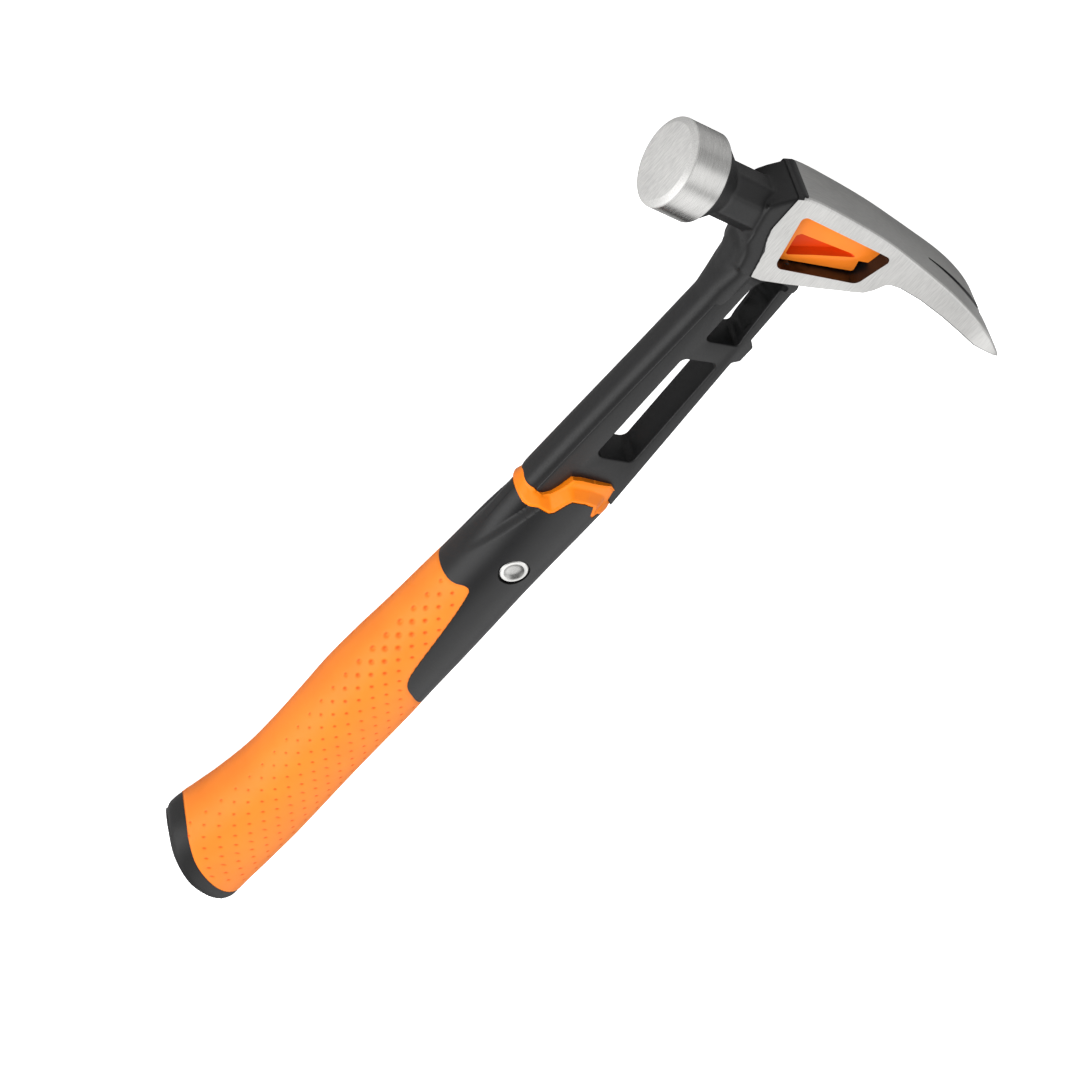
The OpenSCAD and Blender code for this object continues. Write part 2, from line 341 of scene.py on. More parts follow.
def swept(stations, power, around=72):
    """Closed bar along the side view, from (middle, half depth, half thickness)"""
    bm, loops = bmesh.new(), []
    for i, ((x, y), deep, thick) in enumerate(stations):
        before, after = stations[max(i - 1, 0)][0], stations[min(i + 1, len(stations) - 1)][0]
        run = Vector((after[0] - before[0], after[1] - before[1], 0)).normalized()
        side = Vector((-run.y, run.x, 0))
        ring = []
        for k in range(around):
            c, s = cos(2 * pi * k / around), sin(2 * pi * k / around)
            ring.append(bm.verts.new(
                Vector((x, y, 0)) + side * deep * math.copysign(abs(c) ** (2 / power), c)
                + Vector((0, 0, thick)) * math.copysign(abs(s) ** (2 / power), s)))
        loops.append([bm.edges.new(pair) for pair in zip(ring, ring[1:] + ring[:1])])
    for a, b in zip(loops, loops[1:]):
        bmesh.ops.bridge_loops(bm, edges=a + b)
    for ring in (loops[0], loops[-1]):
        bmesh.ops.contextual_create(bm, geom=ring)
    return tidy(bm)


def turned(profile, steps=128):
    """Shape turned about the y axis from a profile of (radius, y)"""
    bm = bmesh.new()
    verts = [bm.verts.new((0, y, r)) for r, y in profile]
    edges = [bm.edges.new(pair) for pair in zip(verts, verts[1:])]
    bmesh.ops.spin(bm, geom=verts + edges, cent=(0, 0, 0), axis=(0, 1, 0), angle=2 * pi,
                   steps=steps, use_merge=True)
    return tidy(bm)


def as_object(bm, name):
    """New object that holds the shape"""
    mesh = bpy.data.meshes.new(name)
    bm.to_mesh(mesh)
    bm.free()
    obj = bpy.data.objects.new(name, mesh)
    bpy.context.scene.collection.objects.link(obj)
    return obj


def apply_all(obj):
    """Turns the piece's modifiers into its mesh"""
    bpy.context.view_layer.update()
    graph = bpy.context.evaluated_depsgraph_get()
    mesh = bpy.data.meshes.new_from_object(obj.evaluated_get(graph))
    old = obj.data
    obj.modifiers.clear()
    obj.data = mesh
    bpy.data.meshes.remove(old)
    return obj


def cut(obj, other, operation, solver="EXACT"):
    """Cuts a piece with another shape, which is used up"""
    mod = obj.modifiers.new("cut", "BOOLEAN")
    mod.operation, mod.object, mod.solver = operation, other, solver
    apply_all(obj)
    bpy.data.objects.remove(other)
    return obj


def joined(name, parts):
    """One object that holds several closed shapes"""
    bm = bmesh.new()
    for part in parts:
        mesh = bpy.data.meshes.new("part")
        part.to_mesh(mesh)
        part.free()
        bm.from_mesh(mesh)
        bpy.data.meshes.remove(mesh)
    return as_object(bm, name)


def forged(obj, cell, passes):
    """Fuses overlapping shapes and softens their edges like a forging"""
    fuse = obj.modifiers.new("fuse", "REMESH")
    fuse.mode, fuse.voxel_size = "VOXEL", cell
    soft = obj.modifiers.new("soft", "SMOOTH")
    soft.iterations, soft.factor = passes, 0.5
    return apply_all(obj)


def soften_edges(obj, width, segments, limit):
    """Bevels the sharp edges of a piece"""
    bm = bmesh.new()
    bm.from_mesh(obj.data)
    bmesh.ops.dissolve_limit(bm, angle_limit=radians(0.5), verts=bm.verts, edges=bm.edges)
    sharp = [e for e in bm.edges if e.is_manifold and e.calc_face_angle(0) > radians(limit)]
    bmesh.ops.bevel(bm, geom=sharp, offset=width, segments=segments, profile=0.5,
                    affect="EDGES", material=-1, clamp_overlap=True)
    bmesh.ops.recalc_face_normals(bm, faces=bm.faces)
    bm.to_mesh(obj.data)
    bm.free()
    return obj


def set_smooth(obj, limit):
    """Smooth shading with sharp edges above a limit in degrees"""
    bm = bmesh.new()
    bm.from_mesh(obj.data)
    for face in bm.faces:
        face.smooth = True
    for edge in bm.edges:
        edge.smooth = edge.calc_face_angle(0) < radians(limit)
    bm.to_mesh(obj.data)
    bm.free()
    return obj


def complete(obj, shaders, nodes, limit, chooser=None):
    """Places a finished piece in the frame and gives it its finish"""
    set_smooth(obj, limit)
    obj.data.materials.clear()
    for face in obj.data.polygons:
        face.material_index = 0
    for shader in shaders:
        obj.data.materials.append(shader.material)
    if chooser:
        for face in obj.data.polygons:
            face.material_index = chooser(face.normal, face.center)
    obj.data.transform(TO_FRAME)
    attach(obj, "root")
    if nodes:
        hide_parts(*nodes)
    return obj


# ------------------------------------------------------------- shared outlines

# Head along its length: its top edge, its lower edge, the edge of the ground
# cheek in front, its half width, half the nail slot, and where it has rings
HEAD_TOP = [(342.4, 13.6), (343, 10), (343, 4), (342.3, -10), (341.4, -20), (339.9, -30),
            (338.2, -40), (336.3, -50), (333.6, -60), (329.8, -70), (324.5, -79)]
HEAD_TOP_AT = [(y, x) for x, y in HEAD_TOP] + [(-79.6, 323.9), (20, 339)]
HEAD_LOW_AT = [(20, 312.2), (9, 312.2), (5.5, 312.4), (-2, 314.6), (-12.7, 318.2), (-22.5, 321.7),
               (-25.5, 323), (-27.5, 325.2), (-29.2, 328.2), (-31, 329.4), (-34, 329.9),
               (-42, 329.6), (-52, 328.2), (-61, 326.4), (-67.5, 324.8), (-79.6, 323.3)]
CHEEK_EDGE_AT = [(14.9, 328.4), (14.2, 326), (13.3, 324), (12.2, 321.8), (11, 319),
                 (10, 315.4), (9, 311.9)]
HALF_WIDTH_AT = [(20, 9.2), (-20, 9.2), (-32, 9.9), (-46, 11.2), (-60, 12.7), (-67, 13),
                 (-76.6, 11.4), (-79.6, 10.1)]
INNER_AT = [(-42, 0.0), (-42.4, 0.4), (-60, 1.5), (-68, 2.3), (-71, 3.4), (-74, 5.0),
            (-76.5, 6.8), (-78.5, 8.3), (-79.6, 9.2)]
HEAD_STATIONS = [14.9, 14.2, 13.3, 12.2, 11, 10, 9.1, 9, 7.5, 6.3, 5.5, 4, 1.5, -2, -6, -10,
                 -12.7, -16, -20, -22.5, -24, -25.5, -26.5, -27.5, -28.4, -29.2, -30, -31,
                 -32.5, -34, -36, -38, -40, -42, -42.4, -44, -46, -48, -50, -52, -54, -56,
                 -58, -60, -61.5, -63, -65, -66.5, -67.5, -69, -71, -72.8, -74.6, -76, -77.4,
                 -78.5, -79.2, -79.6]
CHEEK_FRONT, HEAD_CHAMFER = 9, 0.75

# Windows with the radii of their corners
CHEEK_WIN = [(318.2, 5), (324.8, -21.3), (337, -25), (337.3, 9.6)]
CHEEK_WIN_R = [2.5, 3, 1.6, 1.6]
UPPER_WIN = [(284.8, 3.4), (287.6, -7.4), (291.2, -6.6), (314.6, -4.4), (314, 3.6)]
UPPER_WIN_R = [1.5, 1.5, 0.5, 1.2, 1.5]
LOWER_WIN = [(232, 4.6), (235, -7.9), (279.4, -6.5), (276.2, 4.6)]
LOWER_WIN_R = [2.4, 2.4, 1.8, 2.2]
CHEEK_WIN_BOX = ((317.5, 337.4), (-25.6, 10.2))

# Painted forging: flat web, front rib as (middle, half depth, half thickness),
# shoulder as (height, front, rear, half thickness), and cheek block
WEB = [(311, 10), (300, 9.6), (277, 10.4), (258, 11.2), (239, 11.9), (213, 12.6), (210.9, 11.2),
       (211.8, 8.8), (217, 6.9), (221.8, 5.9), (224.4, -7.4), (218.4, -11), (217, -13.2),
       (281.4, -9.9), (283.2, -11.9), (289.2, -12), (291.4, -9.6), (316, -8.7), (320, 0)]
WEB_HALF, BLOCK_HALF = 6.2, 8.9
RIB = [((211.2, 11.6), 4.3, 4.8), ((212.4, 11.5), 4.9, 5.8), ((215, 11.4), 5, 6),
       ((240, 10.5), 5, 6), ((270, 9.4), 4.9, 6), ((296, 8.6), 4.9, 6), ((302, 9.2), 4.9, 6.7),
       ((307, 9.8), 4.7, 7.8), ((312, 10.3), 4.4, 8.7)]
SHOULDER = [(292, 12.9, -8, 5.2), (300, 13.1, -8, 5.7), (304, 13.8, -8, 5.9),
            (308, 14.7, -8, 6.1), (311, 15.3, -8.2, 7.4), (313, 15.8, -8.6, 8.8),
            (317, 16.6, -9, 8.9), (321.5, 16.6, -8, 8.9)]
BLOCK = [(311.6, -8), (311.6, 14.2), (318.5, 16.2), (321.5, 18.2), (334.8, 20.6),
         (337.6, 18.4), (343, 13.2), (342.8, 11), (320, 4), (316, -8)]
BLOCK_SOFT_BELOW = 323

# Striking end: height of its axis and the neck behind it
POLL_X, NECK_RADIUS = 329.4, 8.66

# Cheek inserts and their pockets, with the radii of their corners, and the box and
# darker red of the pockets, which is painted shade of the recess
INSERT = [(318.5, 4.7), (325.6, -20.9), (329.4, -19.9), (330.2, -23), (336.7, -24.4),
          (337, 9.3)]
INSERT_R = [2.2, 0.8, 0.3, 0.5, 1.3, 1.3]
POCKET = [(320.6, 1.9), (330.0, -20.3), (330.8, -19.6), (329.5, 2.4), (328.2, 3.6)]
POCKET_R = [0.9, 0.3, 0.3, 0.9, 0.9]
POCKET_BOX, POCKET_SHADE_COLOUR = ((320.3, 330.2), (-20.6, 3.4)), (0.72, 0.055, 0.002)

# Edges of the handle pieces in the side view
BAND_LOW = [(209, 22), (207.6, 16), (206.9, 13.7), (207.4, 11.8), (208.9, 9.8), (209, 6),
            (210, 4.8), (214.6, 3.1), (216.2, 2.2), (217.1, -2), (216.8, -5.4), (213.4, -7),
            (212.1, -8.6), (214, -9.6), (214, -22)]
BAND_LOW_AT = [(y, x) for x, y in BAND_LOW]
BAND_TOP = [(226.5, 24), (214.6, 16.8), (213.2, 14.4), (212.2, 12.4), (212.6, 10),
            (214.4, 8.2), (218, 6.7), (222.2, 5.6), (223.2, 3), (224.8, -7.4),
            (223.2, -10), (219, -11.6), (217.8, -22)]
GRIP_EDGE = smooth_curve([(169, 30), (169, 17), (169.6, 13.8), (171.2, 11.2), (170.8, 9.4),
                          (168, 8.5), (157, 7.2), (136, 5.6), (130, 4.7), (126.4, 2.9),
                          (123.8, -0.5), (119, -8.6), (115, -24)], 4)
CAP_EDGE = smooth_curve([(43, 40), (35, 30), (28.6, 25), (22, 18.5), (16.6, 10.5), (13, 3),
                         (10.9, -4), (9.6, -11), (8.6, -24)], 6)
CAP_END = smooth_curve([(31, 40), (26, 31.6), (19.2, 25), (12.4, 15.4), (8.9, 7), (7, 0),
                        (6, -6), (5.7, -12), (5.6, -24)], 6)

# Handle sections: height, middle, half depth and half thickness
SECTIONS = [(2, 9.75, 18.95, 14.4), (14, 10.5, 19.6, 14.7), (26, 10.3, 20.2, 14.8),
            (36, 8.75, 19.15, 14.6), (46, 7.2, 18, 14.3), (62, 5.65, 16.65, 13.8),
            (78, 5.15, 16.25, 13.7), (94, 4.95, 16.35, 13.9), (110, 4.75, 16.65, 13.9),
            (126, 4.2, 16.3, 13.5), (142, 3.3, 15.8, 13), (158, 2.65, 15.35, 12.6),
            (174, 2.05, 14.85, 12.2), (190, 1.45, 14.75, 11.8), (206, 1.05, 15.25, 11.1),
            (220, 0.85, 15.55, 10.7)]
SECTION_POWER = 2.3
BARREL_RADIUS = 6.2  # round front of the shell

# Rivet: place in the side view, height of its top and radius of its dish
RIVET_X, RIVET_Y, RIVET_TOP, DISH_RADIUS = 184, 1.5, 11.5, 3.05

# Grip dimples: spacing along and round the handle, cell of the lookup, mean
# radius that turns an angle into a distance, smallest size, angle where the
# pressed surface ends, and the darker colour painted into the pits as shade
DIMPLE_PITCH, DIMPLE_TURN, DIMPLE_CELL, DIMPLE_ARC = 7, 0.16, 4, 15.5
DIMPLE_SIZE, DIMPLE_END, DIMPLE_SHADE_COLOUR = 0.62, 1.35, (0.86, 0.115, 0.006)

# Even sky, then its soft light patches: direction, where each starts and is
# full, and strength
SKY_LIGHT = 0.14
SKY_PATCHES = (((0.2, 0.1, 1), 0.3, 0.95, 0.1), ((-0.55, -0.58, 0.6), 0.8, 0.98, 0.95),
               ((-0.45, 0.78, 0.42), 0.74, 0.98, 2.1), ((0.4, -0.55, 0.72), 0.87, 0.99, 0.6),
               ((0.2, -0.95, 0.15), 0.4, 0.97, 0.6))

# Camera past the head on the striking side, which looks back along the handle:
# its place in the drawing, its right and backward directions, and its lens
CAMERA_PLACE, CAMERA_RIGHT = Vector((645.8, 466.3, 594.9)), Vector((0.581, -0.792, 0.186))
CAMERA_BACK, CAMERA_LENS = Vector((0.514, 0.535, 0.671)), 94.13


def handle_point(x, angle, inset):
    """Point of the handle surface at a height, from the front round the left side"""
    mid, depth, thick = follow(SECTIONS, x)
    c, s = cos(angle), sin(angle)
    return Vector((x, mid + (depth - inset) * math.copysign(abs(c) ** (2 / SECTION_POWER), c),
                   (thick - inset) * math.copysign(abs(s) ** (2 / SECTION_POWER), s)))


def handle_tube(low, high, step, around, inset, shaper):
    """Closed handle surface between two heights, from a grid wrapped into a tube"""
    rings = max(2, int((high - low) / step))
    bm = bmesh.new()
    bmesh.ops.create_grid(bm, x_segments=rings, y_segments=around, size=1.0)
    for v in bm.verts:
        x = low + (high - low) * (v.co.x + 1) / 2
        angle = pi * (v.co.y + 1)
        v.co = handle_point(x, angle, inset)
        v.co = shaper(v.co, angle)
    bmesh.ops.remove_doubles(bm, verts=bm.verts, dist=1e-4)
    rim = [e for e in bm.edges if e.is_boundary]
    bmesh.ops.holes_fill(bm, edges=rim, sides=0)
    bmesh.ops.recalc_face_normals(bm, faces=bm.faces)
    return bm


def reach(point, line):
    """Distance from a point of the side view to an open outline"""
    x, y = point
    best = 1e9
    for (ax, ay), (bx, by) in zip(line, line[1:]):
        ux, uy = bx - ax, by - ay
        t = max(0.0, min(1.0, ((x - ax) * ux + (y - ay) * uy) / (ux * ux + uy * uy)))
        best = min(best, (ax + ux * t - x) ** 2 + (ay + uy * t - y) ** 2)
    return math.sqrt(best)


def lip(width, depth, *lines):
    """Shaper that rolls the surface in towards the given outlines"""
    spans = [(min(x for x, y in line) - width, max(x for x, y in line) + width, line)
             for line in lines]

    def shape(co, angle):
        for low, high, line in spans:
            if low < co.x < high:
                near = 1 - reach((co.x, co.y), line) / width
                if near > 0:
                    mid = follow(SECTIONS, co.x)[0]
                    co = co - Vector((0, co.y - mid, co.z)).normalized() * depth * near * near
        return co
    return shape


def within(point, box):
    """Whether a point lies inside a box of the side view"""
    return all(low < v < high for v, (low, high) in zip(point, box))


def side_region(name, outline):
    """Cutter through the whole thickness with a side outline"""
    return as_object(prism(outline, -30, 30), name)


# ------------------------------------------------------------------ operators

class HAMMER_OT_forging(bpy.types.Operator):
    """Painted forging: shaft, windows, rib, shoulder, neck and taper"""
    bl_idname = "hammer.forging"
    bl_label = "Painted forging"

    def execute(self, context):
        sizes, colours = context.scene.hammer_sizes, context.scene.hammer_colours
        web = as_object(prism(WEB, -WEB_HALF, WEB_HALF), "shaft_web")
        windows = ((UPPER_WIN, UPPER_WIN_R), (LOWER_WIN, LOWER_WIN_R), (CHEEK_WIN, CHEEK_WIN_R))
        for outline, radii in windows[:2]:
            cut(web, side_region("window", rounded(outline, radii)), "DIFFERENCE")
        soften_edges(web, 0.75, 3, 35)
        paint = painted("black_paint", tuple(colours.paint))
        complete(web, [paint], ["head_shaft"], 50)

        neck = rod((POLL_X, 12, 0), (POLL_X, 37, 0), NECK_RADIUS, NECK_RADIUS, 8)
        bmesh.ops.rotate(neck, verts=neck.verts, cent=(POLL_X, 0, 0),
                         matrix=Matrix.Rotation(pi / 8, 3, "Y"))
        block = prism(BLOCK, -BLOCK_HALF, BLOCK_HALF)
        low = [e for e in block.edges
               if (e.verts[0].co.x + e.verts[1].co.x) / 2 < BLOCK_SOFT_BELOW]
        bmesh.ops.bevel(block, geom=low, offset=1.8, segments=4, profile=0.5, affect="EDGES",
                        material=-1)
        shoulder = [((x, (front + rear) / 2), (front - rear) / 2, thick)
                    for x, front, rear, thick in SHOULDER]
        taper = rod((POLL_X, 30.6, 0), (POLL_X, 38.7, 0), 7.4, 13.1)
        parts = [neck, block, swept(RIB, 2.5), swept(shoulder, 3.4), taper]
        body = joined("painted_forging", parts)
        forged(body, sizes.paint_grain * 1000, 14)
        for outline, radii in windows:
            cut(body, side_region("window", rounded(outline, radii)), "DIFFERENCE", "MANIFOLD")
        complete(body, [paint], [], 50)
        return {"FINISHED"}


class HAMMER_OT_head(bpy.types.Operator):
    """Ground cheeks, head top and the two claws"""
    bl_idname = "hammer.head"
    bl_label = "Ground head and claws"

    def execute(self, context):
        colours = context.scene.hammer_colours
        steel, paint = tuple(colours.steel), tuple(colours.paint)
        bm = bmesh.new()
        rings = []
        for y in HEAD_STATIONS:
            top, low = follow(HEAD_TOP_AT, y)[0], line_at(HEAD_LOW_AT, y)
            if y > CHEEK_FRONT:
                low = max(low, line_at(CHEEK_EDGE_AT, y))
            wide = follow(HALF_WIDTH_AT, y)[0]
            inner = line_at(INNER_AT, y)
            c = min(HEAD_CHAMFER, (top - low) * 0.3)
            profile = [(top, inner), (top, wide - c * 1.3), (top - c * 0.35, wide - c * 0.4),
                       (top - c, wide), (low + c * 0.5, wide), (low, wide - c * 0.5),
                       (low, inner)]
            verts = [bm.verts.new((x, y, z)) for x, z in profile]
            edges = [bm.edges.new(pair) for pair in zip(verts, verts[1:] + verts[:1])]
            rings.append(edges)
        for a, b in zip(rings, rings[1:]):
            bmesh.ops.bridge_loops(bm, edges=a + b)
        for ring in (rings[0], rings[-1]):
            bmesh.ops.contextual_create(bm, geom=ring)
        flat = [f for f in bm.faces if all(abs(v.co.z) < 1e-6 for v in f.verts)]
        bmesh.ops.delete(bm, geom=flat, context="FACES")
        bmesh.ops.mirror(bm, geom=bm.verts[:] + bm.edges[:] + bm.faces[:], axis="Z",
                         merge_dist=1e-4)
        head = as_object(tidy(bm), "ground_head")
        window = side_region("window", rounded(CHEEK_WIN, CHEEK_WIN_R, 8))
        cut(head, window, "DIFFERENCE")

        def finish(normal, centre):
            in_window = within(centre, CHEEK_WIN_BOX)
            if (centre.y > 14.8 or normal.x < -0.5 or in_window and abs(normal.z) < 0.5
                    or centre.y > 13.3 and normal.x > 0.5):
                return 2
            if abs(normal.z) > 0.3 and abs(centre.z) > 5:
                return 0
            # Upward top faces get the darker top steel, which is painted shade
            return 1 if normal.x > 0.6 else 2

        # The ground top gets a darker copy of the cheek steel: painted shade
        top = ground_steel("ground_top_painted_shade", shade(steel, 0.72), (3400.0, 300.0, 3400.0),
                           (0, 0, 0), (0.34, 0.46), metal=0.65)
        complete(head, [ground_cheek(steel, paint), top, painted("head_paint", paint)],
                 [], 20, finish)
        return {"FINISHED"}


class HAMMER_OT_poll(bpy.types.Operator):
    """Ground striking end with its bevelled face"""
    bl_idname = "hammer.poll"
    bl_label = "Striking end"

    def execute(self, context):
        steel = tuple(context.scene.hammer_colours.steel)
        profile = [(0, 52), (11.1, 52), (11.5, 51.95), (13.0, 51.2), (13.4, 50.9), (13.5, 50.5),
                   (13.5, 39.2), (13.35, 38.95), (12.9, 38.9), (0, 38.9)]
        bm = turned(profile)
        bmesh.ops.translate(bm, verts=bm.verts, vec=(POLL_X, -0.2, 0))
        poll = as_object(bm, "striking_end")

        # Face and bevel faces get the lighter steel copies, which are painted light; the band
        # gets the plain steel
        def finish(normal, centre):
            if normal.y > 0.98:
                return 0
            return 1 if normal.y > 0.2 else 2

        # The face and its bevel get lighter copies of the band steel: painted light
        face = ground_steel("face_steel_painted_light", shade(steel, 1.16), (420.0, 420.0, 3600.0),
                            (0, radians(35), 0), (0.42, 0.55), 0.2, metal=0.5)
        bevel = ground_steel("bevel_steel_painted_light", shade(steel, 1.2), (3000.0, 3000.0, 3000.0),
                             (0, 0, 0), (0.4, 0.5), metal=0.6)
        band = ground_steel("band_steel", steel, (300.0, 3600.0, 300.0), (0, 0, 0), (0.2, 0.3))
        complete(poll, [face, bevel, band], [], 12, finish)
        return {"FINISHED"}


class HAMMER_OT_inserts(bpy.types.Operator):
    """Orange inserts in the two sides of the cheek window"""
    bl_idname = "hammer.inserts"
    bl_label = "Cheek inserts"

    def execute(self, context):
        colour = tuple(context.scene.hammer_colours.insert)
        face = moulded("insert_orange", colour, (0.3, 0.4))
        # Darker red in the pocket: painted shade of the recess
        deep = moulded("insert_pocket_shade", POCKET_SHADE_COLOUR, (0.35, 0.45))
        for name, side in (("left", 1), ("right", -1)):
            body = as_object(prism(rounded(INSERT, INSERT_R), 0.02, 4.5), "insert_plate_" + name)
            pocket = prism(rounded(POCKET, POCKET_R), 1.4, 7)
            for v in pocket.verts:
                if v.co.z < 2:
                    v.co.x += (329 - v.co.x) * 0.15
                    v.co.y += (0.8 - v.co.y) * 0.25
            cut(body, as_object(pocket, "pocket"), "DIFFERENCE")
            soften_edges(body, 0.28, 2, 40)
            if side < 0:
                body.data.transform(Matrix.Scale(-1, 4, (0, 0, 1)))
                body.data.flip_normals()
            # Faces inside the pocket get the darker red, which is painted shade
            complete(body, [face, deep], ["cheek_insert_" + name], 40,
                     lambda n, c: int(1 < abs(c.z) < 4.2 and within(c, POCKET_BOX)))
        return {"FINISHED"}


class HAMMER_OT_band(bpy.types.Operator):
    """Orange isolation band between the steel and the handle shell"""
    bl_idname = "hammer.band"
    bl_label = "Isolation band"

    def execute(self, context):
        colour = tuple(context.scene.hammer_colours.band)
        roll = lip(1.1, 0.45, BAND_LOW[1:-1], BAND_TOP[1:-1])

        def slope(co, angle):
            share = min(1.0, max(0.0, (reach((co.x, co.y), BAND_LOW) - 1.2) / 3.0))
            if co.x > line_at(BAND_LOW_AT, co.y):
                co.z *= 1 - 0.22 * share
            return roll(co, angle)

        body = as_object(handle_tube(202, 228, 0.34, 250, 0.0, slope), "isolation_band")
        region = side_region("region", BAND_LOW[::-1] + [(209, 24)] + BAND_TOP)
        cut(body, region, "INTERSECT", "MANIFOLD")
        complete(body, [moulded("band_orange", colour, (0.34, 0.44))],
                 ["isolation_sleeve"], 60)
        return {"FINISHED"}


def barrel(co, angle):
    """Step down from the flat side of the shell to its narrower round front"""
    share = min(1.0, max(0.0, (co.x - 176) / 20))
    away = co.y - (9.3 + (208 - co.x) * 0.215)
    if away > 0 and abs(co.z) > 1.5:
        mid, deep, _ = follow(SECTIONS, co.x)
        drop = max(0.0, co.y - (mid + deep - BARREL_RADIUS))
        target = math.sqrt(max(0.0, BARREL_RADIUS * BARREL_RADIUS - drop * drop))
        target = min(abs(co.z), max(target, 0.5 * abs(co.z)))
        rise = min(1.0, away / 1.1)
        share *= rise * rise * (3 - 2 * rise)
        co.z = math.copysign(abs(co.z) * (1 - share) + target * share, co.z)
    return co


class HAMMER_OT_shell(bpy.types.Operator):
    """Rigid black handle shell between the band and the grip"""
    bl_idname = "hammer.shell"
    bl_label = "Handle shell"

    def execute(self, context):
        colours = context.scene.hammer_colours
        tube = handle_tube(112, 222, 0.5, 200, 0.05, barrel)
        body = as_object(tube, "handle_shell_skin")
        region = side_region("region", BAND_LOW + GRIP_EDGE[::-1])
        cut(body, region, "INTERSECT", "MANIFOLD")
        for side in (-1, 1):
            seat = rod((RIVET_X, RIVET_Y, side * 10.6), (RIVET_X, RIVET_Y, side * 16),
                       5.15, 5.15, 64)
            cut(body, as_object(seat, "seat"), "DIFFERENCE", "MANIFOLD")
        complete(body, [painted("shell_plastic", tuple(colours.shell), 3200.0, (0.4, 0.5), 0.35)],
                 ["handle_shell"], 40)
        return {"FINISHED"}


class HAMMER_OT_rivet(bpy.types.Operator):
    """Rolled rivet with a dished centre"""
    bl_idname = "hammer.rivet"
    bl_label = "Rivet"

    def execute(self, context):
        steel = tuple(context.scene.hammer_colours.steel)
        sunk = [(0, 0.8), (1.0, 0.8), (1.9, 0.7), (2.7, 0.4), (3.2, 0.1), (3.4, 0), (4.3, 0),
                (4.6, 0.2), (4.7, 0.5)]
        half = [(r, RIVET_TOP - z) for r, z in sunk] + [(4.7, 10.7), (3.1, 10.65)]
        profile = half + [(r, -z) for r, z in reversed(half)]
        bm = turned(profile, 64)
        bmesh.ops.rotate(bm, verts=bm.verts, cent=(0, 0, 0),
                         matrix=Matrix.Rotation(pi / 2, 3, "X"))
        bmesh.ops.translate(bm, verts=bm.verts, vec=(RIVET_X, RIVET_Y, 0))
        body = as_object(bm, "handle_rivet")
        # The rolled ring gets a lighter copy of the steel and the dish a darker one: painted
        # highlight and painted shade
        ring = ground_steel("rivet_ring_painted_highlight", shade(steel, 1.3), (4000.0, 4000.0, 4000.0),
                            (0, 0, 0), (0.24, 0.34))
        dish = ground_steel("rivet_dish", shade(steel, 0.85), (2500.0, 2500.0, 2500.0),
                            (0, 0, 0), (0.2, 0.34), 0.6)
        complete(body, [ring, dish], ["rivet"], 30,
                 lambda n, c: int(math.hypot(c.x - RIVET_X, c.y - RIVET_Y) < DISH_RADIUS))
        return {"FINISHED"}


def dimples():
    """Staggered grip dimples by cell: height, angle round the side, radius"""
    cells = {}
    for row in range(-7, 8):
        angle = -0.02 - DIMPLE_TURN * row * (1 + 0.03 * abs(row))
        for k in range(-16, 6):
            x = 131.5 + DIMPLE_PITCH * k + (DIMPLE_PITCH / 2 if row % 2 else 0)
            size = DIMPLE_SIZE + 0.85 * math.exp(-((x - 140) / 26) ** 2
                                                 - ((row - 5.4) / 2.6) ** 2)
            mid, deep, _ = follow(SECTIONS, x)
            clear = reach((x, mid - deep * sin(angle)), GRIP_EDGE) > size + 0.6
            if 17 < x < 168 and angle > -1.22 and clear:
                cells.setdefault(int(x // DIMPLE_CELL), []).append((x, angle, size))
    return cells


def side_turn(co):
    """Angle of a handle point round the side, from the middle towards the back"""
    mid, deep, _ = follow(SECTIONS, co.x)
    return math.asin(max(-1.0, min(1.0, (mid - co.y) / deep)))


def nearby(cells, co, turn):
    """Dimples near a point: distance from the middle in radii, and radius"""
    cell = int(co.x // DIMPLE_CELL)
    for key in (cell - 1, cell, cell + 1):
        for x, at, size in cells.get(key, ()):
            yield math.hypot(co.x - x, (turn - at) * DIMPLE_ARC) / size, size


class HAMMER_OT_grip(bpy.types.Operator):
    """Soft orange grip with its dimples"""
    bl_idname = "hammer.grip"
    bl_label = "Grip"

    def execute(self, context):
        sizes, colours = context.scene.hammer_sizes, context.scene.hammer_colours
        step = sizes.handle_step * 1000
        roll = lip(1.2, sizes.lip_round * 1000, GRIP_EDGE, CAP_EDGE)
        cells = dimples()
        deepest = sizes.dimple_depth * 1000

        def press(co, angle):
            mid, deep, thick = follow(SECTIONS, co.x)
            turn = side_turn(co)
            if abs(turn) < DIMPLE_END:
                for gap, size in nearby(cells, co, turn):
                    if gap < 1:
                        dip = deepest * (0.35 + 0.55 * size) * (1 - gap * gap) ** 1.6
                        out = Vector((0, (co.y - mid) / deep ** 2, co.z / thick ** 2))
                        return co - out.normalized() * dip
            return roll(co, angle)

        body = as_object(handle_tube(3, 178, step, 236, 0.0, press), "soft_grip")
        outline = CAP_EDGE + [(60, -24)] + GRIP_EDGE[::-1] + [(120, 45)]
        cut(body, side_region("region", outline), "INTERSECT", "MANIFOLD")
        # Painted shade in the dimples: each point stores how near it lies to a pit's middle, less
        # for large pits
        pit_shade = body.data.attributes.new("pit_shade", "FLOAT", "POINT")
        for v, value in zip(body.data.vertices, pit_shade.data):
            value.value = max([0.0] + [max(0.0, 1 - gap) * min(1.0, 0.72 / size)
                                       for gap, size in nearby(cells, v.co, side_turn(v.co))])
        skin = moulded("grip_orange", tuple(colours.grip), (0.42, 0.55))
        # Darkens the orange in the pits: painted shade
        pit_shade_node = skin.add("ShaderNodeAttribute", attribute_name="pit_shade")
        base = skin.bsdf.inputs["Base Color"].links[0].from_socket
        skin.colour(skin.mix(skin.ramp(pit_shade_node.outputs["Fac"], 0.0, 0.38, 0.0, 1.0), base,
                             DIMPLE_SHADE_COLOUR))
        complete(body, [skin], ["grip_overmould"], 40)
        return {"FINISHED"}


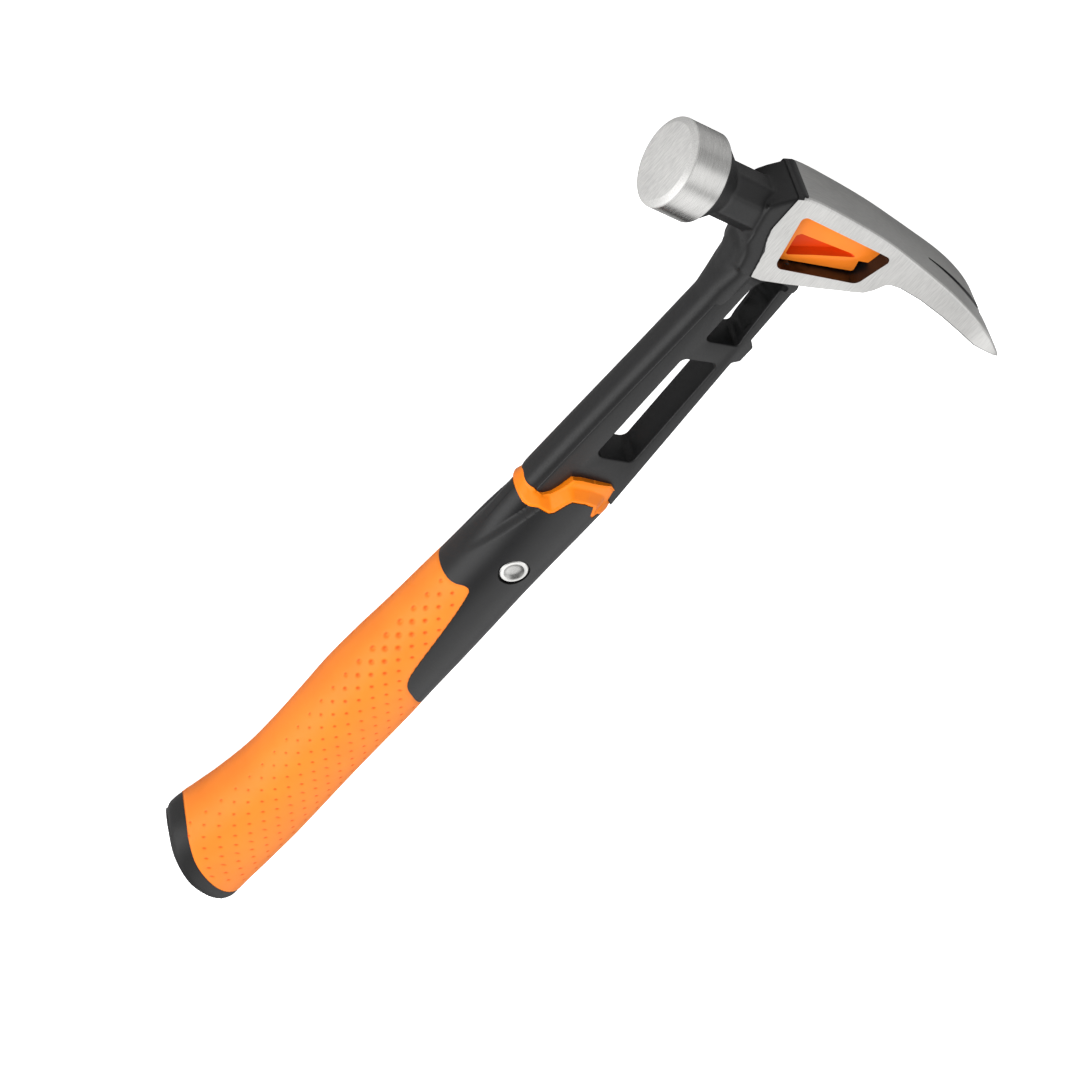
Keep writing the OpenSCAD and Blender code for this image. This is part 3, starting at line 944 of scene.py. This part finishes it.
class HAMMER_OT_cap(bpy.types.Operator):
    """Black end cap that closes the butt"""
    bl_idname = "hammer.cap"
    bl_label = "End cap"

    def execute(self, context):
        colours = context.scene.hammer_colours
        roll = lip(2.4, 0.8, CAP_END)
        body = as_object(handle_tube(2.5, 50, 0.5, 190, 0.15, roll), "butt_cap")
        outline = CAP_END + CAP_EDGE[::-1]
        cut(body, side_region("region", outline), "INTERSECT", "MANIFOLD")
        complete(body, [painted("cap_rubber", tuple(colours.cap), 2400.0, (0.45, 0.58), 0.4)],
                 ["end_cap"], 40)
        return {"FINISHED"}


class HAMMER_OT_stage(bpy.types.Operator):
    """Plain floor, soft studio light and the camera"""
    bl_idname = "hammer.stage"
    bl_label = "Stage"

    def execute(self, context):
        scene = context.scene
        bm = bmesh.new()
        bmesh.ops.create_grid(bm, x_segments=2, y_segments=2, size=4.0)
        floor = as_object(bm, "floor")
        s = Shader("floor_white", Roughness=0.9)
        seen = s.add("ShaderNodeLightPath").outputs["Is Camera Ray"]
        s.colour(s.mix(seen, s.mix(s.ramp(s.noise(3.0), 0.3, 0.7), (0.44, 0.44, 0.44),
                                   (0.48, 0.48, 0.48)), (0.9, 0.9, 0.9)))
        s.bsdf.inputs["Emission Color"].default_value = (1, 1, 1, 1)
        s.join(seen, s.bsdf.inputs["Emission Strength"])
        floor.data.materials.append(s.material)

        world = bpy.data.worlds.new("studio")
        world.use_nodes = True
        tree = world.node_tree
        link = tree.links.new
        back = tree.nodes["Background"]
        ray = tree.nodes.new("ShaderNodeTexCoord").outputs["Generated"]

        def glow(direction, low, high, amount):
            """Soft light patch of the sky around a direction"""
            dot = tree.nodes.new("ShaderNodeVectorMath")
            dot.operation = "DOT_PRODUCT"
            link(ray, dot.inputs[0])
            dot.inputs[1].default_value = Vector(direction).normalized()
            span = tree.nodes.new("ShaderNodeMapRange")
            span.interpolation_type = "SMOOTHSTEP"
            link(dot.outputs["Value"], span.inputs["Value"])
            for key, number in (("From Min", low), ("From Max", high), ("To Max", amount)):
                span.inputs[key].default_value = number
            return span.outputs["Result"]

        total = None
        for patch in SKY_PATCHES:
            value = glow(*patch)
            add = tree.nodes.new("ShaderNodeMath")
            add.operation = "ADD"
            link(value, add.inputs[0])
            if total is None:
                add.inputs[1].default_value = SKY_LIGHT
            else:
                link(total, add.inputs[1])
            total = add.outputs[0]
        path = tree.nodes.new("ShaderNodeLightPath").outputs["Is Camera Ray"]
        peak = tree.nodes.new("ShaderNodeMath")
        peak.operation = "MAXIMUM"
        link(path, peak.inputs[0])
        link(total, peak.inputs[1])
        link(peak.outputs[0], back.inputs["Strength"])
        back.inputs["Color"].default_value = (1, 1, 1, 1)
        scene.world = world
        scene.view_settings.view_transform = "Standard"

        def area(name, place, aim, size, watts):
            light = bpy.data.lights.new(name, "AREA")
            light.shape, light.size, light.energy = "SQUARE", size, watts
            obj = bpy.data.objects.new(name, light)
            obj.location = place
            obj.rotation_euler = (Vector(aim) - Vector(place)).to_track_quat("-Z", "Y").to_euler()
            obj.visible_glossy = False
            scene.collection.objects.link(obj)

        area("key_light", (0.0, 0.65, 1.0), (0.05, 0, 0), 1.0, 11.5)

        camera = bpy.data.cameras.new("camera")
        camera.sensor_width = 36.0
        camera.lens = CAMERA_LENS
        camera.clip_start, camera.clip_end = 0.01, 20.0
        obj = bpy.data.objects.new("camera", camera)
        right = CAMERA_RIGHT.normalized()
        back = (CAMERA_BACK - right * CAMERA_BACK.dot(right)).normalized()
        up = back.cross(right)
        turn = Matrix((right, up, back)).transposed().to_4x4()
        obj.matrix_world = Matrix.Translation(TO_FRAME @ CAMERA_PLACE) @ turn
        scene.collection.objects.link(obj)
        scene.camera = obj
        return {"FINISHED"}


class HAMMER_PT_pieces(bpy.types.Panel):
    """Lists the hammer's pieces and their sizes"""
    bl_idname = "HAMMER_PT_pieces"
    bl_label = "Claw hammer"
    bl_space_type = "VIEW_3D"
    bl_region_type = "UI"
    bl_category = "Hammer"

    def draw(self, context):
        layout = self.layout
        for group in (context.scene.hammer_sizes, context.scene.hammer_colours):
            for key in group.__annotations__:
                layout.prop(group, key)
        for operator in PIECES:
            layout.operator(operator.bl_idname)


PIECES = (HAMMER_OT_forging, HAMMER_OT_head, HAMMER_OT_poll, HAMMER_OT_inserts, HAMMER_OT_band,
          HAMMER_OT_shell, HAMMER_OT_rivet, HAMMER_OT_grip, HAMMER_OT_cap, HAMMER_OT_stage)
CLASSES = (HammerSizes, HammerColours, *PIECES, HAMMER_PT_pieces)


def register():
    for cls in CLASSES:
        bpy.utils.register_class(cls)
    bpy.types.Scene.hammer_sizes = bpy.props.PointerProperty(type=HammerSizes)
    bpy.types.Scene.hammer_colours = bpy.props.PointerProperty(type=HammerColours)


def unregister():
    del bpy.types.Scene.hammer_sizes
    del bpy.types.Scene.hammer_colours
    for cls in reversed(CLASSES):
        bpy.utils.unregister_class(cls)


def main():
    register()
    for operator in PIECES:
        group, name = operator.bl_idname.split(".")
        getattr(getattr(bpy.ops, group), name)()


if __name__ == "__main__":
    main()
